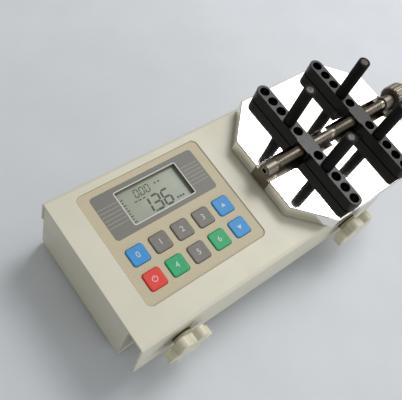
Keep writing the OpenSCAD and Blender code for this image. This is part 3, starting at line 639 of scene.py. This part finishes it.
def key_cap(node, material, mark):
    """Key cap with soft edges and a slightly dished top, its retaining flange, and its printed mark."""
    side, corner_r, rim_r = 14.4 * MM, 2.2 * MM, 0.7 * MM
    flange_t, flange_r = 1 * MM, 3.5 * MM
    dish_in, dish_deep, mark_sunk = 1.2 * MM, 0.08 * MM, 0.01 * MM
    low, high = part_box(node)
    middle = (low + high) / 2
    bm = bmesh.new()
    cap = add_box(bm, (middle.x - side / 2, middle.y - side / 2, low.z + flange_t / 2),
                  (middle.x + side / 2, middle.y + side / 2, high.z))
    round_over(bm, [edge for edge in edges_of(cap) if rise(edge) > MM], corner_r, 6)
    rim = [edge for edge in bm.edges if all(abs(vert.co.z - high.z) < WELD for vert in edge.verts)]
    round_over(bm, rim, rim_r, 4)
    top = max(bm.faces, key=lambda face: face.calc_center_median().z)
    bmesh.ops.inset_region(bm, faces=[top], thickness=dish_in)
    for vert in top.verts:
        vert.co.z -= dish_deep
    flange = add_box(bm, low, (high.x, high.y, low.z + flange_t))
    round_over(bm, [edge for edge in edges_of(flange) if rise(edge) > flange_t / 2], flange_r, 5)
    plain = set(bm.faces)
    at = Vector((middle.x, middle.y, high.z - dish_deep - mark_sunk))
    if mark == "standby":
        standby_mark(bm, at)
    elif mark in ("up", "down"):
        arrow_mark(bm, at, 0 if mark == "up" else math.pi)
    else:
        number_mark(bm, at, mark)
    for face in bm.faces:
        face.material_index = 0 if face in plain else 1
    face_outward(bm)
    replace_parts(piece_from(bm, node + "_cap", node, material, MARK_INK), node)


def flat_bar(bm, start, end, width, level, taper=0.0):
    """A thin printed bar between two points in plan; with a taper its ends are pointed."""
    start, end = Vector(start), Vector(end)
    along = (end - start).normalized()
    across = Vector((-along.y, along.x)) * width / 2
    tip = along * width * taper
    outline = [start, start + tip - across, end - tip - across, end, end - tip + across, start + tip + across]
    if taper == 0:
        outline = [start - across, end - across, end + across, start + across]
    face = bm.faces.new([bm.verts.new((point.x, point.y, level)) for point in outline])
    raise_faces(bm, [face], SKIN)


SEGMENTS = {"0": "abcdef", "1": "bc", "3": "abgcd", "6": "afgedc"}
ENDS = {
    "a": ((0, 1), (1, 1)), "g": ((0, 0.5), (1, 0.5)), "d": ((0, 0), (1, 0)), "f": ((0, 0.5), (0, 1)),
    "b": ((1, 0.5), (1, 1)), "e": ((0, 0), (0, 0.5)), "c": ((1, 0), (1, 0.5))}


def digit(bm, figure, at, height, level):
    """One seven-segment figure; at is its lower left corner."""
    width, stroke, slant = height * 0.5, height * 0.135, 0.1
    gap = stroke * 0.12
    for name in SEGMENTS[figure]:
        start, end = (
            at + Vector((across * width + up * height * slant, up * height)) for across, up in ENDS[name])
        along = (end - start).normalized() * gap
        flat_bar(bm, start + along, end - along, stroke, level, 0.5)


CELL_STEP = 1.2 * MM
VIEW_WIDE, VIEW_DEEP = 55.9 * MM, 29.1 * MM


def display_cell():
    """Liquid-crystal cell: its front ledge seats on the window's collar, its image plane is a step lower."""
    ledge, corner_r = 2.3 * MM, 0.4 * MM
    low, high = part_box("lcd_glass")
    bm = bmesh.new()
    cell = add_box(bm, low, high)
    front = [face for face in bm.faces if face.normal.z > 0.9]
    bmesh.ops.inset_region(bm, faces=front, thickness=ledge)
    raise_faces(bm, front, -CELL_STEP)
    bmesh.ops.delete(bm, geom=front, context="FACES_ONLY")
    round_over(bm, [edge for edge in edges_of(cell) if rise(edge) > CELL_STEP + NEAR], corner_r, 2)
    face_outward(bm)
    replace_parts(piece_from(bm, "display_cell", "lcd_glass", GLASS), "lcd_glass")


def display_figures():
    """Reading on the display: a small number over a large one, a column of ticks and small annunciators.
    Places on the display are shares of its width and depth from its lower left corner."""
    large_h, large_step = 12.5 * MM, 9.2 * MM
    small_h, small_step = 6.4 * MM, 5.0 * MM
    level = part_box("lcd_glass")[1].z - CELL_STEP
    low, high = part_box("display_window")
    middle = (low + high) / 2
    bm = bmesh.new()

    def at(across, up):
        return Vector((middle.x + (across - 0.5) * VIEW_WIDE, middle.y + (up - 0.5) * VIEW_DEEP))

    def dash(start, length, width):
        flat_bar(bm, start, start + Vector((length, 0)), width, level)

    for k, figure in enumerate("136"):
        digit(bm, figure, at(0.25, 0.09) + Vector((k * large_step, 0)), large_h, level)
    dash(at(0.4, 0.09) - Vector((0.6 * MM, 0)), 1.4 * MM, 1.4 * MM)
    for k, figure in enumerate("000"):
        digit(bm, figure, at(0.26, 0.66) + Vector((k * small_step, 0)), small_h, level)
    dash(at(0.34, 0.66) - Vector((0.4 * MM, 0)), 0.8 * MM, 0.8 * MM)
    for k in range(9):
        dash(at(0.035, 0.1 + 0.085 * k), (1.6 if k % 2 else 2.4) * MM, 0.9 * MM)
    for count, across, step, up, length, width in (
            (3, 0.2, 0.065, 0.57, 2.5 * MM, 0.9 * MM),
            (3, 0.76, 0.045, 0.14, 1.7 * MM, 1.5 * MM),
            (2, 0.6, 0.06, 0.8, 1.6 * MM, 1.3 * MM)):
        for k in range(count):
            dash(at(across + step * k, up), length, width)
    face_outward(bm)
    piece_from(bm, "display_figures", "lcd_glass", SEGMENT)


def window_print():
    """Light outline round the display and six fine stripes on each side of it, printed on the window."""
    line, gap, corner_r = 0.75 * MM, 0.12 * MM, 0.8 * MM
    stripes, stripe_wide, left_margin, right_margin = 6, 0.45 * MM, 0.3 * MM, 1.6 * MM
    first, step = 0.3, 0.085
    low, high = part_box("display_window")
    middle = (low + high) / 2
    bm = bmesh.new()
    for grow in (gap, gap + line):
        size = Matrix.Diagonal((VIEW_WIDE + 2 * grow, VIEW_DEEP + 2 * grow, 1, 1))
        place = Matrix.Translation((middle.x, middle.y, high.z)) @ size
        verts = bmesh.ops.create_grid(bm, x_segments=1, y_segments=1, size=0.5, matrix=place)["verts"]
        bmesh.ops.delete(bm, geom=verts[0].link_faces[:], context="FACES_ONLY")
        bmesh.ops.bevel(
            bm, geom=verts, offset=corner_r + grow, offset_type="OFFSET", segments=4, profile=0.5,
            affect="VERTICES", material=-1, clamp_overlap=False)
    raise_faces(bm, bmesh.ops.bridge_loops(bm, edges=bm.edges[:])["faces"], SKIN)
    face_outward(bm)
    piece_from(bm, "display_outline", "display_window", WHITE_INK)
    bm = bmesh.new()
    clear = VIEW_WIDE / 2 + 2 * line
    for k in range(stripes):
        y = high.y - (first + step * k) * (high.y - low.y)
        flat_bar(bm, (low.x + left_margin, y), (middle.x - clear, y), stripe_wide, high.z)
        flat_bar(bm, (middle.x + clear, y), (high.x - right_margin, y), stripe_wide, high.z)
    face_outward(bm)
    piece_from(bm, "window_stripes", "display_window", STRIPE_INK)


# Tray head

def folded_tray():
    """Octagonal tray: its outer top edge is a press-brake fold, so it is rounded more than the cut edges."""
    fold_r, cut_r = 1.0 * MM, 0.12 * MM
    bm = merged("tray")
    low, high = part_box("tray")
    centre = (low + high) / 2
    fold = []
    for edge in bm.edges:
        if not all(abs(vert.co.z - high.z) < NEAR for vert in edge.verts):
            continue
        for face in edge.link_faces:
            down = min(vert.co.z for vert in face.verts) < low.z + MM
            if abs(face.normal.z) < 0.1 and down and face.normal.dot(face.calc_center_median() - centre) > 0:
                fold.append(edge)
    round_over(bm, fold, fold_r, 5)
    tray = piece_from(bm, "tray_folded", "tray", MIRROR)
    break_edges(tray, cut_r, 1, 50)
    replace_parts(tray, "tray")


def tray_head():
    """Hub, channel, bearing blocks and their screws."""
    edged("tray_hub", ALLOY, 0.3 * MM)
    edged("guide_channel", GROUND, 0.3 * MM)
    edged("bearing_block_left", GROUND, 0.45 * MM, 3)
    edged("bearing_block_right", GROUND, 0.45 * MM, 3)
    as_built(ZINC, "hub_screws", "tray_screws", "block_screws")


PITCH, STARTS, CREST_R, ROOT_R = 1 * MM, 2, 4 * MM, 3.7 * MM


def thread(bm, start, end, hand, centre):
    """One start's ridge of a thread, wound round the X axis from start to end; its half widths are shares
    of the pitch, and its foot is sunk in the rod."""
    root_half, crest_half, foot_r, per_turn = 0.4, 0.12, ROOT_R - 0.1 * MM, 24
    profile = [(-root_half, foot_r), (-crest_half, CREST_R), (crest_half, CREST_R), (root_half, foot_r)]
    face = bm.faces.new([bm.verts.new((start + a * PITCH, centre.y, centre.z + r)) for a, r in profile])
    lead = PITCH * STARTS
    steps = round((end - start) / lead * per_turn)
    bmesh.ops.spin(
        bm, geom=[face], cent=centre, axis=X_AXIS, dvec=X_AXIS * lead / per_turn,
        angle=hand * steps / per_turn * math.tau, steps=steps, use_merge=False)


def lead_screw():
    """Lead screw: plain left end with a hexagon socket, a left-hand and a right-hand fine thread that
    meet at a plain collar, and the journal that carries the hand knob."""
    journal_r, chamfer, land, neck, shy = 3.5 * MM, 0.4 * MM, 2 * MM, 2.6 * MM, 0.05 * MM
    socket_half, socket_deep = 2 * MM, 5 * MM
    ridge_from, ridge_to = 2.4 * MM, 4.4 * MM
    low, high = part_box("lead_screw")
    centre = Vector((0, (low.y + high.y) / 2, (low.z + high.z) / 2))
    block_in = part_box("bearing_block_left")[1].x
    block_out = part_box("bearing_block_right")[0].x
    middle = (block_in + block_out) / 2
    bm = bmesh.new()
    revolve(bm, [
        (low.x, CREST_R - chamfer), (low.x + chamfer, CREST_R), (block_in + land, CREST_R),
        (block_in + neck, ROOT_R), (middle - neck, ROOT_R), (middle - land, CREST_R),
        (middle + land, CREST_R), (middle + neck, ROOT_R), (block_out - neck, ROOT_R),
        (block_out - land, CREST_R), (block_out - shy, CREST_R), (block_out - shy, journal_r),
        (high.x - chamfer, journal_r), (high.x, journal_r - chamfer), (high.x, 0.0)], X_AXIS, centre)
    mouth = bmesh.ops.extrude_edge_only(bm, edges=[edge for edge in bm.edges if edge.is_boundary])
    for vert in verts_in(mouth):
        turn = math.atan2(vert.co.z - centre.z, vert.co.y - centre.y)
        reach = socket_half / math.cos((turn % (math.pi / 3)) - math.pi / 6)
        vert.co.y = centre.y + reach * math.cos(turn)
        vert.co.z = centre.z + reach * math.sin(turn)
    floor = bmesh.ops.extrude_edge_only(bm, edges=[edge for edge in bm.edges if edge.is_boundary])
    bmesh.ops.translate(bm, vec=X_AXIS * socket_deep, verts=verts_in(floor))
    bmesh.ops.edgeloop_fill(bm, edges=[edge for edge in bm.edges if edge.is_boundary])
    for k in range(STARTS):
        on = k * PITCH
        thread(bm, block_in + ridge_from + on, middle - ridge_to + on, -1, centre)
        thread(bm, middle + ridge_from + on, block_out - ridge_to + on, 1, centre)
    face_outward(bm)
    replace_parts(piece_from(bm, "lead_screw_threaded", "lead_screw", TURNED), "lead_screw")


def clamp():
    """Bars with their nuts, the pegs with their sleeves, and the hand knob."""
    for side in ("left", "right"):
        edged("clamp_bar_" + side, ANODISED, 0.45 * MM, 3)
        edged("nut_" + side, BRONZE, 0.25 * MM)
        for end in ("front", "rear"):
            edged("peg_%s_%s" % (side, end), OXIDE, 0.35 * MM)
            edged("sleeve_%s_%s" % (side, end), RUBBER, 0.55 * MM, 3)
    edged("hand_knob", TURNED, 0.2 * MM, 2, 45)


# Star knobs

def star_outline(turn):
    """Radius of the six-lobed knob at an angle from a lobe's middle."""
    ring, lobe, core = 15 * MM, 4.97 * MM, 13.6 * MM
    away = abs((turn + math.pi / 6) % (math.pi / 3) - math.pi / 6)
    inside = lobe ** 2 - (ring * math.sin(away)) ** 2
    return max(core, ring * math.cos(away) + math.sqrt(inside)) if inside > 0 else core


def star_knob(side):
    """Six-lobed moulded knob with rounded rims, and its collar, square to the leaning apron."""
    lean, turn = math.radians(3), math.radians(57.7)
    thick, rim_r, seat = 8.5 * MM, 1.1 * MM, 0.5 * MM
    collar_h, collar_r, collar_break, bore_r, sunk = 3.6 * MM, 8 * MM, 0.4 * MM, 3.05 * MM, 0.5 * MM
    node = "star_knob_" + side
    out = Vector((0, -math.cos(lean), math.sin(lean)))
    up = Vector((0, math.sin(lean), math.cos(lean)))
    near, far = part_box("washer_" + side)
    bm = bmesh.new()
    ring = bmesh.ops.create_circle(bm, cap_ends=True, segments=180, radius=MM)["verts"]
    for vert in ring:
        angle = math.atan2(vert.co.y, vert.co.x)
        vert.co = Vector((math.cos(angle), math.sin(angle), 0)) * star_outline(angle - turn)
    bmesh.ops.smooth_vert(bm, verts=ring, factor=0.5, use_axis_x=True, use_axis_y=True)
    bmesh.ops.translate(bm, vec=(0, 0, collar_h), verts=ring)
    raise_faces(bm, bm.faces[:], thick)
    face_outward(bm)
    round_over(bm, [edge for edge in bm.edges if rise(edge) < NEAR], rim_r, 4)
    revolve(bm, [
        (0.0, bore_r), (0.0, collar_r - collar_break), (collar_break, collar_r),
        (collar_h + sunk, collar_r)], Z_AXIS, Vector((0, 0, 0)))
    foot = (near + far) / 2 + out * seat
    bmesh.ops.transform(bm, matrix=placed(X_AXIS, up, out, foot), verts=bm.verts[:])
    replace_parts(piece_from(bm, node + "_moulded", node, KNOB), node)
    as_built(ZINC, "stud_" + side)
    as_built(FIBRE, "washer_" + side)


# Studio

def studio():
    """Pale table, a large lamp where the tray mirrors it to the camera, a small high one that casts the
    shadow, a low one in front, and a dim room."""
    bm = bmesh.new()
    bmesh.ops.create_grid(bm, x_segments=1, y_segments=1, size=6.0)
    mesh = bpy.data.meshes.new("table")
    bm.to_mesh(mesh)
    bm.free()
    mesh.materials.append(seamless_board())
    table = bpy.data.objects.new("table", mesh)
    bpy.context.scene.collection.objects.link(table)
    aim = sum(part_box("tray"), Vector()) / 2
    for name, direction, distance, wide, high, power, tint in (
            ("lamp_main", (0.66, 0.09, 0.73), 1.55, 1.3, 0.9, 8.2, "#FFFDF8"),
            ("lamp_key", (0.44, 0.17, 0.88), 1.5, 0.55, 0.55, 7.5, "#FBFCFF"),
            ("lamp_front", (0.3, -0.9, 0.3), 2.2, 1.6, 1.0, 12.5, "#F6F8FF")):
        lamp = bpy.data.lights.new(name, "AREA")
        lamp.shape = "RECTANGLE"
        lamp.size, lamp.size_y = wide, high
        lamp.energy = power
        lamp.color = colour(tint)[:3]
        holder = bpy.data.objects.new(name, lamp)
        bpy.context.scene.collection.objects.link(holder)
        away = Vector(direction).normalized()
        holder.location = aim + away * distance
        holder.rotation_mode = "QUATERNION"
        holder.rotation_quaternion = away.to_track_quat("Z", "Y")
    world = bpy.data.worlds.new("room")
    world.use_nodes = True
    world.node_tree.nodes.clear()
    sky = shader_node(world.node_tree, "ShaderNodeBackground", {"Color": colour("#E4E5E3"), "Strength": 0.45})
    shader_node(world.node_tree, "ShaderNodeOutputWorld", None, {"Surface": sky.outputs["Background"]})
    bpy.context.scene.world = world
    bpy.context.scene.view_settings.view_transform = "Standard"


def photo_camera():
    """Camera high over the front left corner, turned and rolled as the photograph was taken: its place,
    direction and lens come from a fit to the object's straight edges."""
    ahead = Vector((0.465373, 0.248772, -0.849436)).normalized()
    right = Vector((0.770815, -0.585618, 0.250791))
    right = (right - ahead * right.dot(ahead)).normalized()
    data = bpy.data.cameras.new("photo_camera")
    data.lens = 53.24
    data.sensor_width = 36
    data.clip_start, data.clip_end = 0.01, 60
    camera = bpy.data.objects.new("photo_camera", data)
    bpy.context.scene.collection.objects.link(camera)
    camera.matrix_world = placed(right, right.cross(ahead), -ahead, Vector((-0.27015, -0.10055, 0.45407)))
    bpy.context.scene.camera = camera


photo_camera()
studio()
case_body()
cover_screws()
port_pins()
for key, material, mark in (
        ("key_zero", BLUE, "0"), ("key_unit", GREY, "1"), ("key_peak", GREY, "2"), ("key_memory", GREY, "3"),
        ("key_up", BLUE, "up"), ("key_power", RED, "standby"), ("key_clear", GREEN, "4"),
        ("key_print", GREY, "5"), ("key_set", GREEN, "6"), ("key_down", BLUE, "down")):
    key_cap(key, material, mark)
display_cell()
display_figures()
window_print()
folded_tray()
tray_head()
lead_screw()
clamp()
star_knob("left")
star_knob("right")
